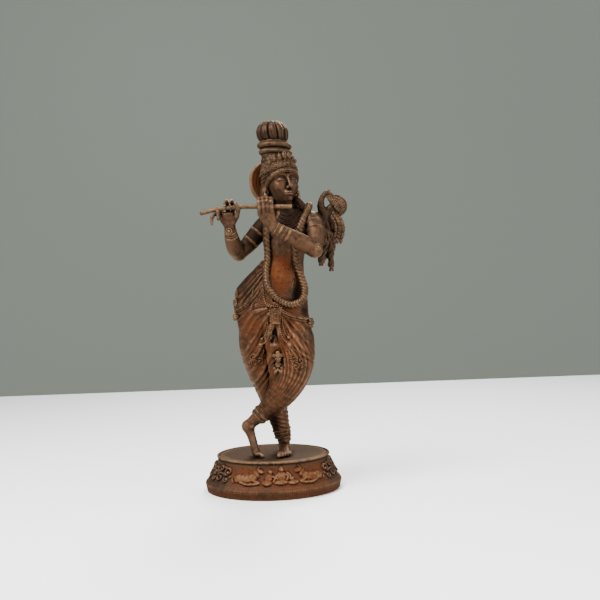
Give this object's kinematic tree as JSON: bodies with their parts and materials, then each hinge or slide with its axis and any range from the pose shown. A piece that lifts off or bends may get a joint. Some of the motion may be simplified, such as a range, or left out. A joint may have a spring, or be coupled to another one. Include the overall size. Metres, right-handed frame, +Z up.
{
  "type": "cast statuette",
  "caption": "Cross-legged figure playing a flute, with garland, tall crown and pleated dress, on an oval plinth with carved sides.",
  "frame": {"origin": "centre of the plinth's underside", "axes": "+Z up from the underside to the crown; -Y out of the plinth's carved front; +X to the figure's left"},
  "size_m": [0.1022, 0.077, 0.2503],
  "materials": {
    "figure_finish": "metal-filled resin with an antique copper patina, dark in the hollows and rubbed bright on the ridges",
    "plinth_finish": "the same patina, a little darker"
  },
  "bodies": {
    "root": {"krishna_figure": "figure_finish", "plinth": "plinth_finish"}
  },
  "joints": []
}
